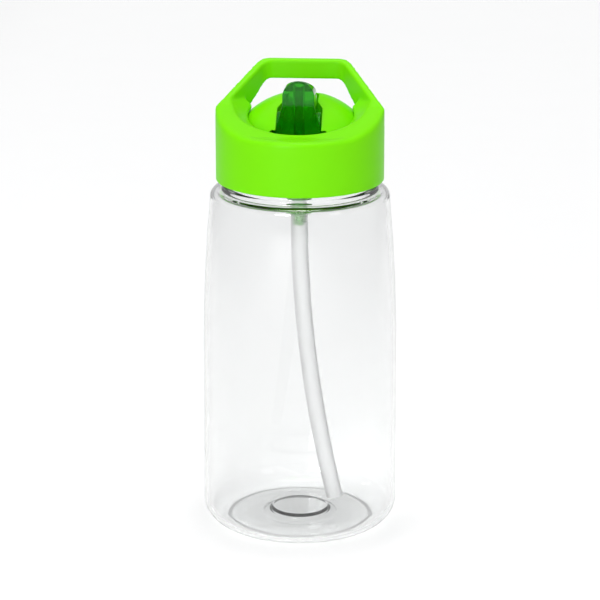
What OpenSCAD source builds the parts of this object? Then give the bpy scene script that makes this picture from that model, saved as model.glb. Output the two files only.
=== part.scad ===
// Kids' water bottle: clear blow-moulded bottle, screw cap with a carry handle,
// and a spout that folds down into a channel in the lid, with a straw below it.
// Millimetres. +Z is up, -Y is the drinking side, and the origin is the middle
// of the circle that the bottle stands on.

/* [Bottle] */
// Outer radius of the wall just above the base
body_r = 36.7; // [36.2:0.1:37.2]
// Wall thickness of the bottle
wall_t = 1.7; // [1.4:0.1:2]
// Height of the shoulder, where the neck begins
shoulder_z = 130; // [128:0.5:131]
// Height of the bottle's mouth
mouth_z = 143; // [142.5:0.1:143]
// Radius of the rounded edge at the base
base_round = 9; // [8:0.5:10]
// Height of the pushed-up middle of the base
push_up_h = 3; // [2.8:0.1:4]

/* [Screw thread] */
// Rise of the thread in one turn
thread_pitch = 4; // [3.8:0.1:4.2]
// Turns of thread on the neck and in the cap
thread_turns = 1.5; // [1.25:0.25:1.5]
// How far the thread stands out
thread_depth = 1.1; // [0.9:0.1:1.1]

/* [Cap] */
// Height of the cap's lower edge
cap_z = 133.5; // [133.5:0.5:134]
// Outer radius of the cap
cap_r = 31.2; // [31:0.1:31.6]
// Thickness of the cap's skirt
skirt_t = 1.8; // [1.8:0.1:2]
// Slope of the ring round the opening, in degrees
ring_tilt = 15.9; // [14:0.1:16]
// Height of that ring's plane on the cap's axis, above the lower edge
ring_h = 27.1; // [27:0.1:27.5]
// Height of the rim behind the opening
rear_h = 20.5; // [20:0.5:21]

/* [Handle] */
// Slope of the handle's upper edge, in degrees
handle_tilt = 28.6; // [27:0.1:30]
// Outer half width of the handle's bar
bar_half = 15.8; // [15:0.1:16.5]
// Thickness of the bar and of the handle's two arms
bar_t = 2.6; // [2.4:0.1:3]
// Radius of the handle's two rear corners, on the outside
corner_r = 7.5; // [5:0.5:8]
// Height of the bar from its lower to its upper edge
bar_h = 7.6; // [7:0.1:8]

/* [Spout] */
// Height of the spout's pivot above the cap's lower edge
pivot_h = 19.5; // [19.3:0.1:19.6]
// Length of the spout from its pivot to its tip
spout_len = 18.8; // [18:0.1:19.4]
// Half width of the spout at its pivot
spout_foot = 8; // [7.8:0.1:8]
// Half width of the mouthpiece, which is also the radius of its round top
spout_tip = 5.9; // [5.7:0.1:6.3]
// Bore that the drink runs through
bore_d = 4.4; // [4:0.1:4.6]

/* [Straw] */
// Outside diameter of the straw
straw_d = 6.3; // [6.2:0.1:6.5]
// Wall thickness of the straw
straw_t = 0.6; // [0.5:0.05:0.6]
// Radius that the straw is bent to
straw_bend = 480; // [440:10:600]
// Length of the straw below its connector
straw_len = 108; // [100:1:110]

/* [Hidden] */
e = 0.01;
run = 0.3;                      // gap round what moves
pin_gap = 0.06;                 // radial clearance of the spout's pins
bead_r = 29.4;                  // collar under the cap
neck_r = 28;                    // neck behind the thread
neck_t = 2;
cap_in_r = cap_r - skirt_t;
floor_h = 11.3;                 // underside of the lid's floor
floor_t = 2;
deck_h = floor_h + floor_t;     // upper side of the lid's floor
gasket_t = 1.7;
bar_y = 25.6;                   // back face of the bar
pivot_y = -4;
barrel_r = 6.5;
pin_r = 2;
pin_out = 2;
open_y = 3.3;                   // middle of the opening on the ring's plane
open_h = ring_h + open_y * tan(ring_tilt);
open_top_r = 25.2;
open_low_r = 19.6;
open_depth = 4.9;
open_flare = (open_top_r - open_low_r) / open_depth;
foot_y = 11;                    // where the arms leave the ring
dome_y = 3.5;                   // middle of the dome's round edge
dome_edge_r = 23;
dome_r = 29.4;
dome_drop = 28.4;               // dome's centre below the ring's plane
nozzle_r = 4.8;
nozzle_end = -10;               // lower end of the nozzle's collar
barb_len = 6.5;
lip_y = -5.6;                   // mouthpiece's front face from the pivot
tail_y = 4.8;                   // mouthpiece's back face from the pivot
ledge_h = 9.8;                  // finger ledge above the pivot

// Points of an arc in a profile.
function arc(cx, cy, r, a0, a1, n) =
    [for (i = [0:n]) let (a = a0 + (a1 - a0) * i / n) [cx + r * cos(a), cy + r * sin(a)]];

// Outer radius of the bottle's wall: a slight taper, then a long curve inwards.
bend_z = 65;
taper = 0.3;
wall_curve = 650;
function wall_r(z) = z < bend_z
    ? body_r - taper * (z - base_round) / (bend_z - base_round)
    : body_r - taper - pow(z - bend_z, 2) / (2 * wall_curve);

// Profile of the bottle, t inside its outer face.
function bottle_side(t) = let (
    foot_in = 26,
    dish = 1,
    hub_r = 13.2,
    round_r = 3,
    top_z = shoulder_z - round_r,
    top_r = wall_r(top_z))
    concat(
        [[0, push_up_h + t], [5, push_up_h - 0.2 + t]],
        arc(hub_r - 3.4, push_up_h - 1.6 + t, 1.4, 90, 20, 5),
        [[hub_r, dish + 0.3 + t], [hub_r + 0.9, dish + t], [foot_in - 5, dish + t],
         [foot_in, t]],
        arc(body_r - base_round, base_round, base_round - t, -90, 0, 12),
        [for (i = [1:12]) let (z = base_round + (top_z - base_round) * i / 12) [wall_r(z) - t, z]],
        arc(top_r - round_r, top_z, round_r - t, 10, 90, 5));

// A screw thread: short arcs of ridge, a hair apart and each a little higher than the last,
// and shallower at the two ends.
module thread_ridge(wall, crest, z0, start) {
    arcs = ceil(thread_turns * 24);
    step = 360 * thread_turns / arcs;
    root = wall - sign(crest - wall) * 0.8;
    for (i = [0:arcs - 1]) {
        z = z0 + thread_pitch * thread_turns * i / arcs;
        tip = wall + (crest - wall) * min(1, (i + 1) / 4, (arcs - i) / 4);
        rotate([0, 0, start + step * i]) rotate_extrude(angle = step - 0.8, $fn = 96)
            polygon([[root, z - 1], [tip, z - 0.5], [tip, z + 0.5], [root, z + 1]]);
    }
}

module bottle_body() {
    color([0.93, 0.95, 0.95, 0.4])
    union() {
        difference() {
            rotate_extrude($fn = 96) polygon(concat(
                bottle_side(0),
                [[bead_r, shoulder_z], [bead_r, shoulder_z + 1.4], [neck_r, shoulder_z + 1.9],
                 [neck_r, mouth_z - 0.4], [neck_r - 0.4, mouth_z], [0, mouth_z]]));
            rotate_extrude($fn = 96) polygon(concat(
                bottle_side(wall_t),
                [[neck_r - neck_t, shoulder_z - 1], [neck_r - neck_t, mouth_z + 1], [0, mouth_z + 1]]));
        }
        thread_ridge(neck_r, neck_r + thread_depth, mouth_z - 2.2 - thread_pitch * thread_turns, 0);
    }
}

// Stands what is drawn upright on the tilted plane of the ring, over the middle of the opening.
module on_ring() {
    translate([0, open_y, cap_z + open_h]) rotate([ring_tilt, 0, 0]) children();
}

// A slab right across the cap, drawn as its outline in Y and Z.
module across(points, half = 40) {
    translate([-half, 0, cap_z])
        rotate([90, 0, 90]) linear_extrude(2 * half) polygon(points);
}

// Plan of the handle, t inside its outer face: two slanting arms, round corners and the bar.
module handle_plan(t) {
    lean = atan((cap_r - bar_half) / bar_y);
    side = cap_r - t / cos(lean);
    cy = bar_y - corner_r;
    cx = cap_r - corner_r / cos(lean) - cy * tan(lean);
    half = concat([[side, -3], [side, 0]], arc(cx, cy, corner_r - t, lean, 90, 6));
    n = len(half) - 1;
    linear_extrude(80) polygon(concat(half, [for (i = [0:n]) [-half[n - i][0], half[n - i][1]]]));
}

// The funnel round the opening, its face moved down by t.
module funnel(t) {
    on_ring() translate([0, 0, -open_depth - t])
        cylinder(r1 = open_low_r, r2 = open_low_r + 9 * open_flare, h = 9, $fn = 96);
}

// Skirt, low rear rim and sloping ring; behind the middle the ring runs up inside the arms.
module cap_skirt() {
    translate([0, 0, cap_z]) cylinder(r = cap_r, h = rear_h, $fn = 96);
    intersection() {
        translate([0, 0, cap_z]) cylinder(r = cap_r, h = 40, $fn = 96);
        across([[-40, 0], [0, 0], [0, ring_h], [-40, ring_h - 40 * tan(ring_tilt)]]);
    }
    intersection() {
        translate([0, 0, cap_z]) cylinder(r = cap_r, h = 40, $fn = 96);
        translate([0, 0, cap_z]) handle_plan(0);
        across([[-1, 0], [foot_y, 0], [foot_y, ring_h + foot_y * tan(handle_tilt)],
                [0, ring_h], [-1, ring_h - 1]]);
    }
}

module handle() {
    rise = tan(handle_tilt);
    top = ring_h + rise * (bar_y - bar_t / 2);
    low = top - bar_h;
    arm_low = 1.8;      // how far the arms reach below the bar
    difference() {
        intersection() {
            translate([0, 0, cap_z]) cylinder(r = cap_r, h = 60, $fn = 96);
            translate([0, 0, cap_z]) handle_plan(0);
            across([[-2, rear_h - 4], [30, rear_h - 4], [30, top], [bar_y - bar_t / 2, top],
                    [0, ring_h], [-2, ring_h - 0.6]]);
        }
        translate([0, 0, cap_z - 1]) handle_plan(bar_t);
        // Gap over the rear rim; its upper side follows the arms, then steps up to the bar.
        across([[foot_y, rear_h], [40, rear_h], [40, low], [bar_y - bar_t, low],
                [bar_y - bar_t - 1.2, low - arm_low]]);
    }
}

module cap_shell() {
    roof = 2.2;
    lip_t = 1.9;
    slope = tan(ring_tilt);
    color("limegreen")
    union() {
        difference() {
            union() {
                difference() {
                    cap_skirt();
                    funnel(0);
                    on_ring() translate([0, 0, -40]) cylinder(r = open_low_r, h = 40, $fn = 96);
                }
                handle();
            }
            translate([0, 0, cap_z - 1]) cylinder(r = cap_in_r, h = deck_h + 1, $fn = 96);
            // Hollow under the sloping ring, down to the lid's floor.
            difference() {
                intersection() {
                    translate([0, 0, cap_z]) cylinder(r = cap_in_r, h = 40, $fn = 96);
                    across([[-40, deck_h - 1], [40, deck_h - 1], [40, rear_h - roof], [0.5, rear_h - roof],
                            [-4, ring_h - 4 * slope - roof], [-40, ring_h - 40 * slope - roof]]);
                }
                funnel(lip_t);
            }
            // Room for the dome, and the hole in the rear rim that it stands in.
            dome_form(-0.15);
            intersection() {
                translate([0, dome_y, cap_z]) cylinder(r = dome_edge_r + 0.15, h = rear_h + e, $fn = 96);
                translate([-40, foot_y, cap_z]) cube([80, 40, 40]);
            }
        }
        thread_ridge(cap_in_r, cap_in_r - thread_depth, cap_z + 1.8, 180);
    }
}

// The dome's form above the lid's floor, t inside its face: a ball on the ring's own axis.
module dome_form(t) {
    intersection() {
        on_ring() translate([0, 0, -dome_drop]) sphere(r = dome_r - t, $fn = 96);
        translate([0, dome_y, cap_z + deck_h - e]) cylinder(r = dome_edge_r - t, h = 40, $fn = 96);
    }
}

// Moves what is drawn to the spout's pivot, with its Z along the pins.
module on_pivot() {
    translate([0, pivot_y, cap_z + pivot_h]) rotate([0, 90, 0]) children();
}

// Room that the spout sweeps as it folds: wide round its barrel, narrow round the mouthpiece.
module spout_room() {
    reach = norm([spout_len, lip_y]) + run;
    wide = spout_foot + run;
    slim = spout_tip + run + 0.1;
    intersection() {
        on_pivot() rotate_extrude($fn = 96) polygon([
            [0, -wide], [barrel_r + 1.3, -wide], [ledge_h + 1.6, -slim], [reach, -slim],
            [reach, slim], [ledge_h + 1.6, slim], [barrel_r + 1.3, wide], [0, wide]]);
        union() {
            translate([-12, pivot_y - barrel_r - 1, cap_z + deck_h]) cube([24, 34, 40]);
            on_pivot() cylinder(r = barrel_r + run, h = 2 * wide, center = true, $fn = 96);
        }
    }
}

module dome_insert() {
    slot = 1.55;
    color("yellowgreen")
    difference() {
        union() {
            difference() {
                dome_form(0);
                dome_form(2);
            }
            intersection() {
                dome_form(0);
                translate([-10.4, -13, cap_z + deck_h - e]) cube([20.8, 33, 30]);
            }
            translate([0, 0, cap_z + floor_h]) cylinder(r = cap_in_r - 0.2, h = floor_t, $fn = 96);
            translate([0, pivot_y, cap_z + 4]) cylinder(r = 7.6, h = 9, $fn = 64);
        }
        spout_room();
        // Notch in front, so that the spout's foot stands free over the ring.
        translate([-11.2, -30, cap_z + deck_h]) cube([22.4, 20.8, 30]);
        // Rear scoop, so that a finger gets behind the folded mouthpiece.
        translate([0, 21, cap_z + 31]) sphere(r = 9, $fn = 64);
        // Bearings of the spout's pins, each with the slot that the pin snaps in through.
        on_pivot() cylinder(r = pin_r + pin_gap, h = 2 * (spout_foot + pin_out + run), center = true, $fn = 48);
        for (s = [-1, 1])
            translate([s * (spout_foot + 1.2) - 1.2, pivot_y, cap_z + pivot_h]) rotate([14, 0, 0])
                translate([0, -12, -slot]) cube([2.4, 12, 2 * slot]);
        // Seat of the seal, and the socket of the nozzle under it.
        translate([0, pivot_y, cap_z + 9.2]) cylinder(r = 4.6, h = 10, $fn = 64);
        translate([0, pivot_y, cap_z + 3]) cylinder(r = nozzle_r + 0.1, h = 6.3, $fn = 64);
        // Vent: a hole for the valve's stem and two for the air.
        for (x = [-2.6, 0, 2.6])
            translate([x, 9, cap_z + floor_h - 1]) cylinder(r = x == 0 ? 1.2 : 0.7, h = 6, $fn = 32);
    }
}

module spout() {
    color([0.05, 0.35, 0.05, 0.8])
    difference() {
        union() {
            on_pivot() cylinder(r = barrel_r, h = 2 * spout_foot, center = true, $fn = 96);
            on_pivot() cylinder(r = pin_r, h = 2 * (spout_foot + pin_out), center = true, $fn = 48);
            intersection() {
                // Side view: upright front, ledge, top sloping down to the back.
                translate([-20, pivot_y, cap_z + pivot_h]) rotate([90, 0, 90]) linear_extrude(40) polygon([
                    [-barrel_r + 0.2, 1], [lip_y - 0.4, ledge_h - 0.6], [lip_y, ledge_h], [lip_y, spout_len + 1],
                    [lip_y + 1.4, spout_len], [tail_y - 1, spout_len - 4.2], [tail_y, spout_len - 5.2],
                    [barrel_r - 1, 3], [0, -1]]);
                // Front view: wide foot, straight mouthpiece, round top.
                translate([0, 20, cap_z + pivot_h]) rotate([90, 0, 0]) linear_extrude(60) union() {
                    polygon([[-spout_foot, -2], [spout_foot, -2], [spout_foot, 2], [spout_tip, ledge_h],
                             [spout_tip, spout_len - spout_tip], [-spout_tip, spout_len - spout_tip],
                             [-spout_tip, ledge_h], [-spout_foot, 2]]);
                    translate([0, spout_len - spout_tip]) circle(r = spout_tip, $fn = 96);
                }
            }
        }
        // Scoop under the ledge, deepest at the top.
        translate([0, pivot_y + lip_y + 1.3, cap_z + pivot_h + ledge_h]) rotate([12, 0, 0])
            translate([0, -12, -20]) cylinder(r = 12, h = 20, $fn = 96);
        translate([0, pivot_y, cap_z + pivot_h - 10]) cylinder(d = bore_d, h = 40, $fn = 48);
    }
}

module spout_seal() {
    color("silver")
    difference() {
        translate([0, pivot_y, cap_z + 9.3]) cylinder(r = 4.5, h = 4.6, $fn = 64);
        translate([0, pivot_y, cap_z + 8]) cylinder(d = bore_d, h = 8, $fn = 48);
        on_pivot() cylinder(r = barrel_r + 0.15, h = 20, center = true, $fn = 96);
    }
}

module straw_nozzle() {
    color([0.1, 0.45, 0.1, 0.85])
    translate([0, pivot_y, cap_z])
    difference() {
        rotate_extrude($fn = 64) polygon([
            [0, 9.2], [nozzle_r, 9.2], [nozzle_r, 3.8], [nozzle_r + 1.4, 3.8], [nozzle_r + 1.4, 2.4],
            [nozzle_r, 2.4], [nozzle_r, nozzle_end + 2.4], [3.1, nozzle_end + 2.4],
            [3.1, nozzle_end + 0.7], [nozzle_r, nozzle_end + 0.7], [nozzle_r, nozzle_end],
            [2.2, nozzle_end],
            [2.2, nozzle_end - barb_len + 2], [2.4, nozzle_end - barb_len + 2],
            [2, nozzle_end - barb_len], [0, nozzle_end - barb_len]]);
        translate([0, 0, -20]) cylinder(r = 1.6, h = 40, $fn = 48);
    }
}

module straw() {
    // Straight down off the nozzle, then bent to one side in a single long curve.
    length = straw_len + barb_len;
    color([0.95, 0.96, 0.95, 0.8])
    translate([straw_bend, pivot_y, cap_z + nozzle_end - 0.1]) rotate([90, 0, 0]) rotate([0, 0, 180])
        rotate_extrude(angle = length / straw_bend * 180 / PI, $fn = 360)
            translate([straw_bend, 0]) difference() {
                circle(d = straw_d, $fn = 64);
                circle(d = straw_d - 2 * straw_t, $fn = 64);
            }
}

module neck_gasket() {
    color("white")
    translate([0, 0, mouth_z + 0.05]) difference() {
        cylinder(r = 28.6, h = gasket_t, $fn = 96);
        translate([0, 0, -1]) cylinder(r = 25.4, h = gasket_t + 2, $fn = 96);
    }
}

module vent_valve() {
    color("white")
    translate([0, 9, cap_z]) rotate_extrude($fn = 48) polygon([
        [0, floor_h - 1.6], [1.2, floor_h - 1.5], [4, floor_h - 0.1], [4, floor_h], [1.15, floor_h],
        [1.15, deck_h + 0.1], [1.7, deck_h + 0.3], [1, deck_h + 1.2], [0, deck_h + 1.2]]);
}

bottle_body();
cap_shell();
dome_insert();
spout();
spout_seal();
straw_nozzle();
straw();
neck_gasket();
vent_valve();
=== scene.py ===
"""Looks of a kids' water bottle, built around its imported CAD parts.

A clear blow-moulded bottle carries a lime screw cap with a carry handle, a domed lid, a dark
green spout that folds down, and a milky straw. Every size is in metres, in the CAD's frame:
+Z is up, -Y is the drinking side, and the origin is the middle of the circle it stands on.
"""

from __future__ import annotations

import logging
import math
from collections.abc import Callable
from dataclasses import dataclass
from enum import Enum

import bmesh
import bpy
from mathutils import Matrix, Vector


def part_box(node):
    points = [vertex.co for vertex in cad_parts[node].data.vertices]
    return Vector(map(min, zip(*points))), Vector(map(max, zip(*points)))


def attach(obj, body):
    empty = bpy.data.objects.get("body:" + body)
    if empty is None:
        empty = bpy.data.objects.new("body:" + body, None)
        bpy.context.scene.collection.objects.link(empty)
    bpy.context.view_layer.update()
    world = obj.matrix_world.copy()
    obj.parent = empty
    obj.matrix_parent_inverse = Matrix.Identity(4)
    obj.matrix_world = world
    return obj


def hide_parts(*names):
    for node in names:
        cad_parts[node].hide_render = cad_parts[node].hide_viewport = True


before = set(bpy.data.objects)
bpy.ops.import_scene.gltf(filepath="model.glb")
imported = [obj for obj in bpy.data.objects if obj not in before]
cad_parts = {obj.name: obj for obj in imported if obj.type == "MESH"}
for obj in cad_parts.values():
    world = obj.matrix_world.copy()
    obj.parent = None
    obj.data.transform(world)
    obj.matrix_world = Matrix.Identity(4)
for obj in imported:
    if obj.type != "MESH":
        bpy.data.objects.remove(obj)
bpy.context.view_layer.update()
MM = 0.001
WELD = 0.004 * MM
TINY = 1e-9
PLAIN_BEND = math.radians(14)

Point = tuple[float, float]
Place = tuple[float, float, float]
Colour = tuple[float, float, float]
log = logging.getLogger("water_bottle")


class Body(Enum):
    """The CAD bodies that pieces ride on."""

    BOTTLE = "bottle"
    GASKET = "gasket"
    CAP = "cap"
    SPOUT = "spout"


class Slot(Enum):
    """The record's material slots."""

    CLEAR_WALL = "clear_wall"
    LIME_CAP = "lime_cap"
    LIME_DOME = "lime_dome"
    GREEN_SPOUT = "green_spout"
    GREEN_NOZZLE = "green_nozzle"
    MILKY_STRAW = "milky_straw"
    SILICONE = "silicone"


# ---------------------------------------------------------------- modelling tools


def only(obj: bpy.types.Object) -> None:
    """Selects obj alone and makes it the active object."""
    bpy.ops.object.select_all(action="DESELECT")
    obj.select_set(True)
    bpy.context.view_layer.objects.active = obj


def pick(obj: bpy.types.Object, test: Callable[[Vector], bool]) -> None:
    """Selects, in edit mode, the vertices that pass a test and what lies between them.

    Args:
        obj: The object in edit mode.
        test: Says of a vertex's place whether it is wanted.
    """
    bpy.ops.mesh.select_mode(type="VERT")
    bpy.ops.mesh.select_all(action="DESELECT")
    mesh = bmesh.from_edit_mesh(obj.data)
    for vertex in mesh.verts:
        vertex.select = test(vertex.co)
    mesh.select_flush_mode()
    bmesh.update_edit_mesh(obj.data)


def applied(obj: bpy.types.Object, kind: str, **settings: object) -> None:
    """Adds a modifier with these settings and applies it.

    Args:
        obj: The object to change.
        kind: The modifier's type.
        settings: Values for the modifier's own fields.
    """
    only(obj)
    modifier = obj.modifiers.new(kind.title(), kind)
    for name, value in settings.items():
        setattr(modifier, name, value)
    bpy.ops.object.modifier_apply(modifier=modifier.name)


def cleaned(obj: bpy.types.Object, smooth_deg: float, turn_out: bool = True) -> None:
    """Merges doubles, turns the faces outwards and smooths what isn't a sharp edge.

    Args:
        obj: The object to finish.
        smooth_deg: The steepest corner that still shades smooth, in degrees.
        turn_out: Whether the faces' direction is worked out again.
    """
    only(obj)
    bpy.ops.object.mode_set(mode="EDIT")
    bpy.ops.mesh.select_all(action="SELECT")
    bpy.ops.mesh.remove_doubles(threshold=WELD)
    if turn_out:
        bpy.ops.mesh.normals_make_consistent(inside=False)
    bpy.ops.object.mode_set(mode="OBJECT")
    bpy.ops.object.shade_smooth_by_angle(angle=math.radians(smooth_deg))


def arc(centre: Point, radius: float, start: float, end: float, steps: int) -> list[Point]:
    """Points of an arc in a profile.

    Args:
        centre: The arc's middle.
        radius: Its radius.
        start: The first point's angle in degrees.
        end: The last point's angle in degrees.
        steps: How many steps it takes.

    Returns:
        The points in order.
    """
    angles = [math.radians(start + (end - start) * i / steps) for i in range(steps + 1)]
    return [(centre[0] + radius * math.cos(a), centre[1] + radius * math.sin(a)) for a in angles]


def rounded(points: list[Point], radius: float, steps: int = 4) -> list[Point]:
    """Rounds the clear corners of a profile, as a mould's edges are.

    Args:
        points: The profile's points, first and last kept.
        radius: How far from a corner its rounding starts.
        steps: Points in each rounding.

    Returns:
        The profile with its corners rounded.
    """
    made = [points[0]]
    for before, corner, after in zip(points, points[1:], points[2:]):
        into = Vector(corner) - Vector(before)
        out = Vector(after) - Vector(corner)
        if into.length < TINY or out.length < TINY or into.angle(out) < PLAIN_BEND:
            made.append(corner)
            continue
        first = Vector(corner) - into.normalized() * min(radius, 0.45 * into.length)
        last = Vector(corner) + out.normalized() * min(radius, 0.45 * out.length)
        for i in range(steps + 1):
            t = i / steps
            spot = first * (1 - t) ** 2 + Vector(corner) * (2 * t * (1 - t)) + last * t * t
            made.append((spot.x, spot.y))
    return made + [points[-1]]


def lathed(name: str, profile: list[Point], centre: Point = (0.0, 0.0), steps: int = 96,
           closed: bool = False) -> bpy.types.Object:
    """Draws a profile point by point and spins it round an upright axis.

    Args:
        name: The piece's name.
        profile: Radius and height of each point.
        centre: Where the axis stands in plan.
        steps: Steps in the full turn.
        closed: Whether the last point joins the first, as on a ring.

    Returns:
        The turned piece, at the origin, with its faces outwards.
    """
    bpy.ops.object.select_all(action="DESELECT")
    bpy.ops.mesh.primitive_circle_add(vertices=3, radius=MM, location=(0, 0, 0))
    obj = bpy.context.active_object
    obj.name = obj.data.name = name
    bpy.ops.object.mode_set(mode="EDIT")
    pick(obj, lambda co: co.y < 0.5 * MM)
    bpy.ops.mesh.delete(type="VERT")
    bpy.ops.mesh.select_all(action="SELECT")
    here = Vector((0.0, MM, 0.0))
    course = profile + [profile[0]] if closed else profile
    for i, (radius, height) in enumerate(course):
        spot = Vector((centre[0] + radius, centre[1], height))
        if i == 0:
            bpy.ops.transform.translate(value=spot - here)
        else:
            bpy.ops.mesh.extrude_region_move(TRANSFORM_OT_translate={"value": spot - here})
        here = spot
    bpy.ops.mesh.select_all(action="SELECT")
    bpy.ops.mesh.spin(steps=steps, angle=2 * math.pi, center=(*centre, 0.0), axis=(0, 0, 1))
    bpy.ops.object.mode_set(mode="OBJECT")
    cleaned(obj, 42)
    return obj


def moulded_copy(node: str, name: str, grain: float, passes: int) -> bpy.types.Object:
    """Copies a CAD node and gives it a moulding's soft edges.

    Args:
        node: The CAD node to copy.
        name: The new piece's name.
        grain: Size of the even mesh that it is rebuilt with.
        passes: How many times that mesh is relaxed.

    Returns:
        The copy, with no tie to the CAD node.
    """
    only(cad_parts[node])
    bpy.ops.object.duplicate()
    obj = bpy.context.active_object
    obj.name = obj.data.name = name
    obj.parent = None
    for key in [k for k in obj.keys() if k.startswith("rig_")]:
        del obj[key]
    cleaned(obj, 30, turn_out=False)
    applied(obj, "REMESH", mode="VOXEL", voxel_size=grain)
    applied(obj, "SMOOTH", factor=0.5, iterations=passes)
    only(obj)
    bpy.ops.object.shade_smooth()
    return obj


def softened(obj: bpy.types.Object, passes: int, share: Callable[[Vector], float]) -> None:
    """Relaxes part of a fine mesh, which rounds its edges there.

    Args:
        obj: The piece.
        passes: How many times that part is relaxed.
        share: Says of a vertex's place how fully it takes part, from 0 to 1.
    """
    group = obj.vertex_groups.new(name="soft")
    for vertex in obj.data.vertices:
        weight = share(vertex.co)
        if weight > 0:
            group.add([vertex.index], min(weight, 1.0), "REPLACE")
    applied(obj, "SMOOTH", factor=0.5, iterations=passes, vertex_group=group.name)
    obj.vertex_groups.clear()


def helix(name: str, radius: float, depth: float, foot: float, pitch: float,
          turns: float, root: float) -> bpy.types.Object:
    """Makes a screw thread's ridge by running its section round the axis as it rises.

    Args:
        name: The ridge's name.
        radius: Radius of the neck that it stands on.
        depth: How far it stands out.
        foot: Height of its first section's middle.
        pitch: Its rise in one turn.
        turns: Its length in turns.
        root: How far it reaches into the wall.

    Returns:
        The closed ridge.
    """
    bpy.ops.object.select_all(action="DESELECT")
    bpy.ops.mesh.primitive_plane_add(size=1, rotation=(math.pi / 2, 0, 0))
    obj = bpy.context.active_object
    obj.name = obj.data.name = name
    obj.dimensions = (depth + root, 2 * MM, 0)
    obj.location = (radius + (depth - root) / 2, 0, foot)
    bpy.ops.object.transform_apply(location=True, rotation=True, scale=True)
    bpy.ops.object.mode_set(mode="EDIT")
    pick(obj, lambda co: co.x > radius)
    bpy.ops.transform.resize(value=(1, 1, 0.45), center_override=(radius, 0, foot))
    bpy.ops.mesh.select_all(action="SELECT")
    bpy.ops.mesh.delete(type="ONLY_FACE")
    bpy.ops.object.mode_set(mode="OBJECT")
    applied(obj, "SCREW", axis="Z", angle=2 * math.pi * turns, screw_offset=pitch * turns,
            steps=int(64 * turns), render_steps=int(64 * turns), use_merge_vertices=False)
    only(obj)
    bpy.ops.object.mode_set(mode="EDIT")
    bpy.ops.mesh.select_all(action="SELECT")
    bpy.ops.mesh.fill_holes(sides=0)
    bpy.ops.object.mode_set(mode="OBJECT")
    cleaned(obj, 30)
    return obj


# ---------------------------------------------------------------- materials


class Nodes:
    """Adds nodes to a material or a group and joins them."""

    def __init__(self, tree: bpy.types.NodeTree) -> None:
        """Keeps the tree that the nodes go into."""
        self.tree = tree

    def add(self, kind: str, fields: dict[str, object] | None = None,
            **sockets: object) -> bpy.types.Node:
        """Adds a node.

        Args:
            kind: The node's type.
            fields: Values for the node's own fields.
            sockets: Values for inputs, their names with _ for each space.

        Returns:
            The node.
        """
        node = self.tree.nodes.new(kind)
        for name, value in (fields or {}).items():
            setattr(node, name, value)
        for name, value in sockets.items():
            node.inputs[name.replace("_", " ")].default_value = value
        return node

    def join(self, source: bpy.types.NodeSocket, target: bpy.types.NodeSocket) -> None:
        """Links an output to an input."""
        self.tree.links.new(source, target)

    def group(self, tree: bpy.types.NodeTree, **sockets: float) -> bpy.types.Node:
        """Places a node group with its own values."""
        node = self.tree.nodes.new("ShaderNodeGroup")
        node.node_tree = tree
        for name, value in sockets.items():
            node.inputs[name].default_value = value
        return node


def new_group(name: str, inputs: dict[str, float], outputs: list[str]) -> Nodes:
    """Starts a node group of plain values.

    Args:
        name: The group's name.
        inputs: Its inputs and their first values.
        outputs: Its outputs' names.

    Returns:
        The node adder for the group's tree.
    """
    tree = bpy.data.node_groups.new(name, "ShaderNodeTree")
    for key, value in inputs.items():
        socket = tree.interface.new_socket(key, in_out="INPUT", socket_type="NodeSocketFloat")
        socket.default_value = value
    for key in outputs:
        tree.interface.new_socket(key, in_out="OUTPUT", socket_type="NodeSocketFloat")
    return Nodes(tree)


def mould_grain() -> bpy.types.NodeTree:
    """Builds the fine skin that a mould leaves: a close grain over slow, faint sink waves."""
    made = bpy.data.node_groups.get("mould_grain")
    if made:
        return made
    n = new_group("mould_grain", {"Scale": 1800.0, "Grain": 0.6, "Waves": 0.4}, ["Height"])
    given, out = n.add("NodeGroupInput"), n.add("NodeGroupOutput")
    place = n.add("ShaderNodeTexCoord")
    fine = n.add("ShaderNodeTexNoise", Detail=3.0, Roughness=0.6)
    slow = n.add("ShaderNodeTexNoise", Scale=90.0, Detail=1.0)
    n.join(place.outputs["Object"], fine.inputs["Vector"])
    n.join(place.outputs["Object"], slow.inputs["Vector"])
    n.join(given.outputs["Scale"], fine.inputs["Scale"])
    grain = n.add("ShaderNodeMath", {"operation": "MULTIPLY"})
    waves = n.add("ShaderNodeMath", {"operation": "MULTIPLY_ADD"})
    n.join(fine.outputs["Fac"], grain.inputs[0])
    n.join(given.outputs["Grain"], grain.inputs[1])
    n.join(slow.outputs["Fac"], waves.inputs[0])
    n.join(given.outputs["Waves"], waves.inputs[1])
    n.join(grain.outputs[0], waves.inputs[2])
    n.join(waves.outputs[0], out.inputs["Height"])
    return n.tree


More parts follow.
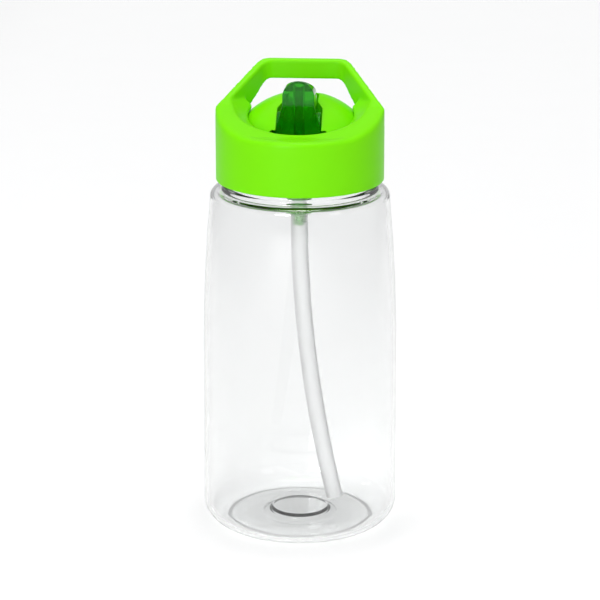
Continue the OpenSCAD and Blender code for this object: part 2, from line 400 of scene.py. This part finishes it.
def handling_marks() -> bpy.types.NodeTree:
    """Builds the marks of use: cloudy rub areas and sparse hairline scuffs."""
    made = bpy.data.node_groups.get("handling_marks")
    if made:
        return made
    n = new_group("handling_marks", {"Base": 0.3, "Spread": 0.06, "Scuffs": 0.1},
                  ["Roughness", "Scuff"])
    given, out = n.add("NodeGroupInput"), n.add("NodeGroupOutput")
    place = n.add("ShaderNodeTexCoord")
    cloud = n.add("ShaderNodeTexNoise", Scale=55.0, Detail=4.0, Roughness=0.55)
    n.join(place.outputs["Object"], cloud.inputs["Vector"])
    stretch = n.add("ShaderNodeMapping", Rotation=(0.5, 0.35, 0.2), Scale=(1.0, 1.0, 0.12))
    n.join(place.outputs["Object"], stretch.inputs["Vector"])
    hair = n.add("ShaderNodeTexNoise", Scale=420.0, Detail=1.0, Distortion=1.2)
    n.join(stretch.outputs["Vector"], hair.inputs["Vector"])
    line = n.add("ShaderNodeMapRange", From_Min=0.66, From_Max=0.74)
    n.join(hair.outputs["Fac"], line.inputs["Value"])
    where = n.add("ShaderNodeMapRange", From_Min=0.5, From_Max=0.62)
    n.join(cloud.outputs["Fac"], where.inputs["Value"])
    scuff = n.add("ShaderNodeMath", {"operation": "MULTIPLY"})
    n.join(line.outputs["Result"], scuff.inputs[0])
    n.join(where.outputs["Result"], scuff.inputs[1])
    centred = n.add("ShaderNodeMapRange", {"clamp": False}, From_Min=0.3, From_Max=0.7,
                    To_Min=-1.0, To_Max=1.0)
    n.join(cloud.outputs["Fac"], centred.inputs["Value"])
    cloudy = n.add("ShaderNodeMath", {"operation": "MULTIPLY_ADD"})
    n.join(centred.outputs["Result"], cloudy.inputs[0])
    n.join(given.outputs["Spread"], cloudy.inputs[1])
    n.join(given.outputs["Base"], cloudy.inputs[2])
    total = n.add("ShaderNodeMath", {"operation": "MULTIPLY_ADD", "use_clamp": True})
    n.join(scuff.outputs[0], total.inputs[0])
    n.join(given.outputs["Scuffs"], total.inputs[1])
    n.join(cloudy.outputs[0], total.inputs[2])
    n.join(total.outputs[0], out.inputs["Roughness"])
    n.join(scuff.outputs[0], out.inputs["Scuff"])
    return n.tree


@dataclass(frozen=True)
class Finish:
    """A plastic's finish: what every moulded piece of the bottle shares.

    Attributes:
        name: The material's name.
        colour: Its colour, linear.
        shade: A second, close colour that drifts over the piece.
        roughness: Its mean roughness.
        spread: How far handling moves the roughness.
        scuffs: How much a hairline scuff adds to it.
        grain: Depth of the mould's grain.
        ior: Its refractive index.
    """

    name: str
    colour: Colour
    shade: Colour
    roughness: float
    spread: float = 0.04
    scuffs: float = 0.12
    grain: float = 0.01 * MM
    ior: float = 1.49

    def principled(self, n: Nodes) -> bpy.types.Node:
        """Adds the plastic's own shader with its colour drift, handling marks and grain.

        Args:
            n: The material's node adder.

        Returns:
            The Principled node.
        """
        shader = n.add("ShaderNodeBsdfPrincipled", IOR=self.ior)
        place = n.add("ShaderNodeTexCoord")
        drift = n.add("ShaderNodeTexNoise", Scale=28.0, Detail=2.0)
        n.join(place.outputs["Object"], drift.inputs["Vector"])
        mix = n.add("ShaderNodeMix", {"data_type": "RGBA"})
        mix.inputs[6].default_value = (*self.colour, 1.0)
        mix.inputs[7].default_value = (*self.shade, 1.0)
        n.join(drift.outputs["Fac"], mix.inputs[0])
        n.join(mix.outputs[2], shader.inputs["Base Color"])
        marks = n.group(handling_marks(), Base=self.roughness, Spread=self.spread,
                        Scuffs=self.scuffs)
        n.join(marks.outputs["Roughness"], shader.inputs["Roughness"])
        skin = n.group(mould_grain())
        bump = n.add("ShaderNodeBump", Strength=1.0, Distance=self.grain)
        n.join(skin.outputs["Height"], bump.inputs["Height"])
        n.join(bump.outputs["Normal"], shader.inputs["Normal"])
        return shader

    def finished(self, n: Nodes, shader: bpy.types.Node) -> bpy.types.NodeSocket:
        """Returns the output that the surface shows: the plastic's shader as it is."""
        return shader.outputs["BSDF"]

    def material(self) -> bpy.types.Material:
        """Builds the material, once, and returns it."""
        made = bpy.data.materials.get(self.name)
        if made:
            return made
        made = bpy.data.materials.new(self.name)
        made.use_nodes = True
        made.node_tree.nodes.clear()
        n = Nodes(made.node_tree)
        out = n.add("ShaderNodeOutputMaterial")
        n.join(self.finished(n, self.principled(n)), out.inputs["Surface"])
        return made


@dataclass(frozen=True)
class SatinPlastic(Finish):
    """An opaque moulded plastic that light enters a little.

    Attributes:
        depth: How much of the light scatters under its skin.
        gloss: Strength of its highlights, 0.5 being the refractive index's own.
    """

    depth: float = 0.12
    gloss: float = 0.1

    def finished(self, n: Nodes, shader: bpy.types.Node) -> bpy.types.NodeSocket:
        """Lets some light scatter under the skin, and returns the shader's output."""
        shader.inputs["Subsurface Weight"].default_value = self.depth
        shader.inputs["Subsurface Radius"].default_value = (0.4, 1.0, 0.15)
        shader.inputs["Subsurface Scale"].default_value = 1.5 * MM
        shader.inputs["Specular IOR Level"].default_value = self.gloss
        return shader.outputs["BSDF"]


@dataclass(frozen=True)
class ClearPlastic(Finish):
    """A plastic that light passes through, and that throws only a tinted shadow.

    Attributes:
        shadow: The colour of the light that it lets through to what is behind.
        through: How much of the light passes.
        gloss: Strength of its highlights, 0.5 being the refractive index's own.
    """

    shadow: Colour = (1.0, 1.0, 1.0)
    through: float = 1.0
    gloss: float = 0.5

    def finished(self, n: Nodes, shader: bpy.types.Node) -> bpy.types.NodeSocket:
        """Makes the shader clear and lets the lamps' rays through it, and returns the mix."""
        shader.inputs["Transmission Weight"].default_value = self.through
        shader.inputs["Specular IOR Level"].default_value = self.gloss
        rays = n.add("ShaderNodeLightPath")
        open_way = n.add("ShaderNodeBsdfTransparent", Color=(*self.shadow, 1.0))
        mix = n.add("ShaderNodeMixShader")
        n.join(rays.outputs["Is Shadow Ray"], mix.inputs[0])
        n.join(shader.outputs["BSDF"], mix.inputs[1])
        n.join(open_way.outputs["BSDF"], mix.inputs[2])
        return mix.outputs["Shader"]


CLEAR_WALL = ClearPlastic("clear_copolyester", (0.935, 0.938, 0.938), (0.92, 0.925, 0.925), 0.012,
                          spread=0.006, scuffs=0.05, grain=0.0006 * MM, ior=1.5,
                          shadow=(0.985, 0.988, 0.988))
LIME_CAP = SatinPlastic("lime_polypropylene", (0.19, 0.74, 0.001), (0.17, 0.69, 0.001), 0.38)
LIME_DOME = SatinPlastic("lime_lid_polypropylene", (0.19, 0.74, 0.001), (0.17, 0.69, 0.001), 0.34)
GREEN_SPOUT = ClearPlastic("dark_green_copolyester", (0.02, 0.42, 0.002), (0.016, 0.36, 0.001), 0.06,
                           spread=0.015, scuffs=0.08, grain=0.001 * MM, ior=1.33,
                           shadow=(0.05, 0.3, 0.03), through=0.8, gloss=0.2)
GREEN_CONNECTOR = ClearPlastic("green_polypropylene", (0.16, 0.62, 0.04), (0.13, 0.55, 0.03), 0.18,
                               spread=0.03, grain=0.002 * MM, shadow=(0.4, 0.75, 0.3),
                               through=0.6)
MILKY_STRAW = ClearPlastic("milky_polyethylene", (0.99, 0.99, 0.99), (0.97, 0.975, 0.975), 0.3,
                           spread=0.05, scuffs=0.1, grain=0.004 * MM, ior=1.45,
                           shadow=(0.93, 0.93, 0.93), through=0.85)
SILICONE = SatinPlastic("soft_silicone", (0.78, 0.79, 0.78), (0.7, 0.71, 0.7), 0.5, depth=0.4)


# ---------------------------------------------------------------- pieces


@dataclass
class Piece:
    """What every piece says: the CAD node that it stands for, its body, slot and finish.

    Attributes:
        node: The CAD node.
        body: The body that it rides on.
        slot: The record's material slot; not used.
        finish: What it is made of.
    """

    node: str
    body: Body
    slot: Slot
    finish: Finish

    def build(self) -> bpy.types.Object:
        """Makes the mesh; the CAD's own by default."""
        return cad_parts[self.node]

    def dress(self, obj: bpy.types.Object) -> None:
        """Gives the mesh its finish and, if it is new, its body.

        Args:
            obj: The finished mesh.
        """
        obj.data.materials.clear()
        obj.data.materials.append(self.finish.material())
        for polygon in obj.data.polygons:
            polygon.material_index = 0
        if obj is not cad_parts[self.node]:
            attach(obj, self.body.value)
            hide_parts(self.node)

    def make(self) -> bpy.types.Object:
        """Builds and dresses the piece, reports it and returns it."""
        obj = self.build()
        self.dress(obj)
        log.info("%s: %d faces on body %s", obj.name, len(obj.data.polygons), self.body.value)
        return obj


@dataclass
class BottleBody(Piece):
    """The clear bottle: a wall that narrows to the shoulder, a neck and a pushed-up base.

    Attributes:
        wall: Thickness of the body.
        base_round: Radius of the rounded edge at the base.
        push_up: Height of the hub in the middle of the base.
        hub_crown: How far the hub's middle rises over its edge.
        hub_edge: Radius of the hub's rounded edge.
        hub_r: Outer radius of the hub's foot.
        foot_in: Inner radius of the ring that the bottle stands on.
        dish: How far the base is raised inside that ring.
        ramp: Width of the slope from the ring up to the raised base.
        shoulder_round: Radius of the shoulder.
        neck_len: Length of the neck.
        neck_r: Radius of the neck behind its thread.
        neck_wall: Thickness of the neck.
        collar_out: How far the collar under the cap stands out.
        collar_h: Height of the collar.
        bend: Height at which the wall begins to curve inwards.
        taper: How far the wall narrows below that height.
        curve: Radius of that curve.
        thread_depth: How far the thread stands out.
        thread_pitch: Its rise in one turn.
        thread_turns: Its length in turns.
        thread_top: How far below the mouth it ends.
    """

    wall: float = 1.7 * MM
    base_round: float = 9 * MM
    push_up: float = 3 * MM
    hub_crown: float = 0.2 * MM
    hub_edge: float = 1.4 * MM
    hub_r: float = 13.2 * MM
    foot_in: float = 26 * MM
    dish: float = 1 * MM
    ramp: float = 5 * MM
    shoulder_round: float = 3 * MM
    neck_len: float = 13 * MM
    neck_r: float = 28 * MM
    neck_wall: float = 1.5 * MM
    collar_out: float = 1 * MM
    collar_h: float = 1.4 * MM
    bend: float = 65 * MM
    taper: float = 0.3 * MM
    curve: float = 650 * MM
    thread_depth: float = 1.1 * MM
    thread_pitch: float = 4 * MM
    thread_turns: float = 1.5
    thread_top: float = 2.2 * MM

    def wall_r(self, body_r: float, z: float) -> float:
        """Outer radius at a height: a slight taper, then a long curve inwards.

        Args:
            body_r: The radius just above the base.
            z: The height.

        Returns:
            The radius.
        """
        if z < self.bend:
            return body_r - self.taper * (z - self.base_round) / (self.bend - self.base_round)
        return body_r - self.taper - (z - self.bend) ** 2 / (2 * self.curve)

    def side(self, body_r: float, shoulder: float, t: float) -> list[Point]:
        """Profile of the body from the middle of its base to the shoulder.

        Args:
            body_r: The radius just above the base.
            shoulder: Height of the shoulder.
            t: How far inside the outer face.

        Returns:
            The points, from the axis outwards and up.
        """
        top = shoulder - self.shoulder_round
        top_r = self.wall_r(body_r, top)
        hub_top = self.push_up - self.hub_crown + t
        raised = self.dish + t
        base = [(0.0, self.push_up + t), (5 * MM, hub_top)]
        base += arc((self.hub_r - self.hub_edge - 2 * MM, hub_top - self.hub_edge),
                    self.hub_edge, 90, 20, 5)
        base += [(self.hub_r, raised + 0.3 * MM), (self.hub_r + 0.9 * MM, raised),
                 (self.foot_in - self.ramp, raised), (self.foot_in, t)]
        heel = arc((body_r - self.base_round, self.base_round), self.base_round - t, -90, 0, 18)
        rise = [self.base_round + (top - self.base_round) * i / 20 for i in range(1, 21)]
        wall = [(self.wall_r(body_r, z) - t, z) for z in rise]
        return rounded(base, 1.2 * MM) + heel + wall + arc(
            (top_r - self.shoulder_round, top), self.shoulder_round - t, 10, 90, 8)

    def build(self) -> bpy.types.Object:
        """Spins the whole wall in one profile and joins the screw thread to the neck."""
        _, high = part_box(self.node)
        body_r, mouth = high.x, high.z
        shoulder = mouth - self.neck_len
        collar_r = self.neck_r + self.collar_out
        collar_top = shoulder + self.collar_h
        bore_r = self.neck_r - self.neck_wall
        neck = [(collar_r + 1 * MM, shoulder), (collar_r, shoulder), (collar_r, collar_top),
                (self.neck_r, collar_top + 0.5 * MM), (self.neck_r, mouth), (bore_r, mouth),
                (bore_r, shoulder - 1 * MM)]
        outer = self.side(body_r, shoulder, 0.0) + rounded(neck, 0.45 * MM)
        inner = self.side(body_r, shoulder, self.wall)
        obj = lathed("clear_bottle", outer + inner[::-1], steps=144)
        thread_foot = mouth - self.thread_top - self.thread_pitch * self.thread_turns
        ridge = helix("neck_thread", self.neck_r, self.thread_depth, thread_foot,
                      self.thread_pitch, self.thread_turns, root=0.6 * MM)
        applied(obj, "BOOLEAN", operation="UNION", object=ridge, solver="EXACT")
        bpy.data.objects.remove(ridge)
        cleaned(obj, 42, turn_out=False)
        return obj


@dataclass
class CapShell(Piece):
    """The screw cap with its sloping ring and carry handle, one soft-edged moulding.

    Attributes:
        grain: Size of the even mesh that the cap is rebuilt with.
        passes: How often the whole mesh is relaxed.
        upper_passes: How often its upper part is relaxed after that.
        edge_passes: How often the ring's outer edge is relaxed after that.
        edge_band: How far from that edge the relaxing reaches.
        edge_fade: The length over which it fades out towards the handle's arms.
        ring_h: Height of the ring's plane on the cap's axis, above the cap's lower edge.
        ring_slope: The ring's rise towards the handle.
    """

    grain: float = 0.42 * MM
    passes: int = 3
    upper_passes: int = 12
    edge_passes: int = 90
    edge_band: float = 4 * MM
    edge_fade: float = 5 * MM
    ring_h: float = 27.1 * MM
    ring_slope: float = math.tan(math.radians(15.9))

    def build(self) -> bpy.types.Object:
        """Copies the CAD's cap, softens the handle and rounds the ring's outer edge."""
        low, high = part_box(self.node)
        obj = moulded_copy(self.node, "lime_cap_and_handle", self.grain, self.passes)
        middle = low.z + self.ring_h / 2
        softened(obj, self.upper_passes, lambda co: float(co.z > middle))

        def near_edge(co: Vector) -> float:
            """Says how fully a place by the ring's outer edge is relaxed."""
            under = low.z + self.ring_h + co.y * self.ring_slope - co.z
            inward = high.x - math.hypot(co.x, co.y)
            if max(under, inward) > self.edge_band:
                return 0.0
            return -(co.y + 1 * MM) / self.edge_fade

        softened(obj, self.edge_passes, near_edge)
        return obj


@dataclass
class DomeInsert(Piece):
    """The domed lid with the spout's channel.

    Attributes:
        grain: Size of the even mesh that the lid is rebuilt with.
        passes: How often that mesh is relaxed.
    """

    grain: float = 0.38 * MM
    passes: int = 3

    def build(self) -> bpy.types.Object:
        """Copies the CAD's dome with a moulding's soft edges."""
        return moulded_copy(self.node, "lime_domed_lid", self.grain, self.passes)


@dataclass
class Spout(Piece):
    """The folding spout with its bore, finger ledge and pins.

    Attributes:
        grain: Size of the even mesh that the spout is rebuilt with.
        passes: How often that mesh is relaxed.
    """

    grain: float = 0.2 * MM
    passes: int = 5

    def build(self) -> bpy.types.Object:
        """Copies the CAD's spout with a moulding's soft edges."""
        return moulded_copy(self.node, "green_spout", self.grain, self.passes)


@dataclass
class StrawNozzle(Piece):
    """The connector under the lid: a collar, a long sleeve and a barb for the straw.

    Attributes:
        sleeve_r: Radius of the sleeve.
        collar_out: How far the collar stands out of the sleeve.
        collar_drop: How far below the sleeve's top the collar begins.
        collar_h: Height of the collar.
        bore_r: Radius of the bore.
        barb: Length of the barb.
        barb_wall: Thickness of the barb's stem.
        waist_r: Radius of the waist above the last flange.
        waist_len: Length of the waist.
        flange: Height of that flange.
    """

    sleeve_r: float = 4.8 * MM
    collar_out: float = 1.4 * MM
    collar_drop: float = 5.4 * MM
    collar_h: float = 1.4 * MM
    bore_r: float = 1.6 * MM
    barb: float = 6.5 * MM
    barb_wall: float = 0.6 * MM
    waist_r: float = 3.1 * MM
    waist_len: float = 1.7 * MM
    flange: float = 0.7 * MM

    def build(self) -> bpy.types.Object:
        """Spins the connector round its bore."""
        low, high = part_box(self.node)
        centre = ((low.x + high.x) / 2, (low.y + high.y) / 2)
        sleeve, waist, bore = self.sleeve_r, self.waist_r, self.bore_r
        out, stem = sleeve + self.collar_out, bore + self.barb_wall
        collar_top = high.z - self.collar_drop
        collar_foot = collar_top - self.collar_h
        foot = low.z + self.barb
        waist_foot = foot + self.flange
        waist_top = waist_foot + self.waist_len
        ledge = low.z + 2 * MM
        ring = [(bore, high.z), (sleeve, high.z), (sleeve, collar_top), (out, collar_top),
                (out, collar_foot), (sleeve, collar_foot), (sleeve, waist_top),
                (waist, waist_top), (waist, waist_foot), (sleeve, waist_foot), (sleeve, foot),
                (stem, foot), (stem, ledge), (stem + 0.2 * MM, ledge), (2 * MM, low.z),
                (bore, low.z)]
        return lathed("green_straw_connector", rounded(ring, 0.3 * MM), centre, 64, closed=True)


@dataclass
class Straw(Piece):
    """The milky straw: a tube bent to one side in one long curve.

    Attributes:
        outer_r: Radius of the tube.
        wall: Its thickness.
        bend: Radius of the curve.
        length: Length along the curve, with what is pushed onto the barb.
    """

    outer_r: float = 3.15 * MM
    wall: float = 0.6 * MM
    bend: float = 480 * MM
    length: float = 114.5 * MM

    def build(self) -> bpy.types.Object:
        """Runs a circle down the bend and gives the tube its wall."""
        low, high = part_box(self.node)
        middle = (low.y + high.y) / 2
        bpy.ops.object.select_all(action="DESELECT")
        bpy.ops.mesh.primitive_circle_add(vertices=48, radius=self.outer_r,
                                          location=(0, middle, high.z))
        obj = bpy.context.active_object
        obj.name = obj.data.name = "milky_straw"
        bpy.ops.object.transform_apply(location=True, rotation=True, scale=True)
        bpy.ops.object.mode_set(mode="EDIT")
        bpy.ops.mesh.select_all(action="SELECT")
        bpy.ops.mesh.spin(steps=60, angle=self.length / self.bend,
                          center=(self.bend, middle, high.z), axis=(0, 1, 0))
        bpy.ops.object.mode_set(mode="OBJECT")
        cleaned(obj, 60)
        applied(obj, "SOLIDIFY", thickness=self.wall, offset=-1.0, use_rim=True)
        cleaned(obj, 60, turn_out=False)
        return obj


@dataclass
class NeckGasket(Piece):
    """The soft ring that seals the cap on the bottle's mouth, with two fine lips.

    Attributes:
        width: Width of the ring.
        lip: Height of the lips.
    """

    width: float = 3.2 * MM
    lip: float = 0.25 * MM

    def build(self) -> bpy.types.Object:
        """Spins the ring's section."""
        low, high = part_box(self.node)
        out, inside = high.x, high.x - self.width
        mid = (inside + out) / 2
        face = high.z - self.lip
        ring = [(inside, low.z), (out, low.z), (out, face), (mid + 1 * MM, high.z),
                (mid + 0.5 * MM, face), (mid - 0.5 * MM, face), (mid - 1 * MM, high.z),
                (inside, face)]
        return lathed("neck_seal_ring", rounded(ring, 0.2 * MM), steps=96, closed=True)


@dataclass
class VentValve(Piece):
    """The small umbrella valve that lets air in as the drink is drawn.

    Attributes:
        depth: Depth of the umbrella below the lid's floor.
        rim: Thickness of the umbrella's rim.
        stem_r: Radius of the stem.
        button_r: Radius of the button that holds it in its hole.
        button_h: Height of the button.
    """

    depth: float = 1.6 * MM
    rim: float = 0.1 * MM
    stem_r: float = 1.15 * MM
    button_r: float = 1.7 * MM
    button_h: float = 1.1 * MM

    def build(self) -> bpy.types.Object:
        """Spins the umbrella, stem and button."""
        low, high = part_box(self.node)
        centre = ((low.x + high.x) / 2, (low.y + high.y) / 2)
        out, top = high.x - centre[0], high.z
        floor, button = low.z + self.depth, top - self.button_h
        half = [(0.0, low.z), (1.2 * MM, low.z + self.rim), (out, floor - self.rim),
                (out, floor), (self.stem_r, floor), (self.stem_r, button),
                (self.button_r, button + 0.2 * MM), (1 * MM, top), (0.0, top)]
        return lathed("vent_umbrella_valve", rounded(half, 0.25 * MM), centre, 48)


# ---------------------------------------------------------------- studio


@dataclass(frozen=True)
class Lamp:
    """A soft, square-cornered lamp.

    Attributes:
        name: Its name.
        place: Where it hangs.
        aim: The point that it faces.
        size: Its width and height.
        watts: Its power.
        spread: How wide its light opens, in degrees.
    """

    name: str
    place: Place
    aim: Place
    size: Point
    watts: float
    spread: float = 180.0

    def hang(self) -> None:
        """Puts the lamp in the scene."""
        data = bpy.data.lights.new(self.name, "AREA")
        data.shape = "RECTANGLE"
        data.size, data.size_y = self.size
        data.energy = self.watts
        data.spread = math.radians(self.spread)
        lamp = bpy.data.objects.new(self.name, data)
        bpy.context.scene.collection.objects.link(lamp)
        lamp.location = self.place
        facing = Vector(self.aim) - Vector(self.place)
        lamp.rotation_euler = facing.to_track_quat("-Z", "Y").to_euler()


OVERHEAD = Lamp("overhead", (0, 0.95, 0.75), (0, 0.95, 0), (0.9, 4.4), 6.9, spread=34)
KEY = Lamp("key", (-0.35, -1.1, 0.5), (0, 0, 0.13), (0.4, 0.6), 6.2)
FILL = Lamp("fill", (0.8, -0.7, 0.4), (0, 0, 0.12), (0.3, 0.6), 0.6)


@dataclass
class Studio:
    """A pale floor, soft light and the camera.

    Attributes:
        azimuth: How far the camera stands round to the right, in degrees.
        pitch: How far it looks down, in degrees.
        distance: How far it stands from the point that it looks at.
        aim_height: Height of that point.
        lens: Its focal length in millimetres.
        floor_size: Side of the floor.
        room_light: Strength of the light from all round.
    """

    azimuth: float = 4.0
    pitch: float = 16.5
    distance: float = 0.9804
    aim_height: float = 0.0863
    lens: float = 156.4
    floor_size: float = 8.0
    room_light: float = 0.52

    def floor(self) -> None:
        """Lays the plain floor."""
        bpy.ops.object.select_all(action="DESELECT")
        bpy.ops.mesh.primitive_plane_add(size=self.floor_size)
        floor = bpy.context.active_object
        floor.name = "pale_floor"
        paint = Finish("pale_floor_paint", (0.9, 0.9, 0.9), (0.89, 0.89, 0.89), 0.75, grain=0.0)
        floor.data.materials.append(paint.material())

    def light(self) -> None:
        """Lights the floor from above and the bottle from both sides, in a pale room."""
        world = bpy.data.worlds.new("soft_room")
        world.use_nodes = True
        back = world.node_tree.nodes["Background"]
        back.inputs["Color"].default_value = (0.99, 0.995, 1.0, 1.0)
        back.inputs["Strength"].default_value = self.room_light
        bpy.context.scene.world = world
        for lamp in (OVERHEAD, KEY, FILL):
            lamp.hang()

    def camera(self) -> None:
        """Stands the camera a little above the cap and slightly to the right."""
        data = bpy.data.cameras.new("camera")
        data.lens = self.lens
        data.sensor_width = 36
        data.clip_start = 0.01
        camera = bpy.data.objects.new("camera", data)
        bpy.context.scene.collection.objects.link(camera)
        a, e = math.radians(self.azimuth), math.radians(self.pitch)
        aim = Vector((0, 0, self.aim_height))
        back = Vector((math.sin(a) * math.cos(e), -math.cos(a) * math.cos(e), math.sin(e)))
        camera.location = aim + back * self.distance
        camera.rotation_euler = (-back).to_track_quat("-Z", "Y").to_euler()
        bpy.context.scene.camera = camera

    def make(self) -> None:
        """Sets up the floor, the light and the camera."""
        self.floor()
        self.light()
        self.camera()
        bpy.context.scene.view_settings.view_transform = "Standard"


def main() -> None:
    """Builds every piece in order, then the studio."""
    logging.basicConfig(level=logging.INFO, format="%(name)s %(message)s")
    pieces: list[Piece] = [
        BottleBody("bottle_body", Body.BOTTLE, Slot.CLEAR_WALL, CLEAR_WALL),
        CapShell("cap_shell", Body.CAP, Slot.LIME_CAP, LIME_CAP),
        DomeInsert("dome_insert", Body.CAP, Slot.LIME_DOME, LIME_DOME),
        Spout("spout", Body.SPOUT, Slot.GREEN_SPOUT, GREEN_SPOUT),
        Piece("spout_seal", Body.CAP, Slot.SILICONE, SILICONE),
        StrawNozzle("straw_nozzle", Body.CAP, Slot.GREEN_NOZZLE, GREEN_CONNECTOR),
        Straw("straw", Body.CAP, Slot.MILKY_STRAW, MILKY_STRAW),
        NeckGasket("neck_gasket", Body.GASKET, Slot.SILICONE, SILICONE),
        VentValve("vent_valve", Body.CAP, Slot.SILICONE, SILICONE),
    ]
    for piece in pieces:
        piece.make()
    Studio().make()


if __name__ == "__main__":
    main()
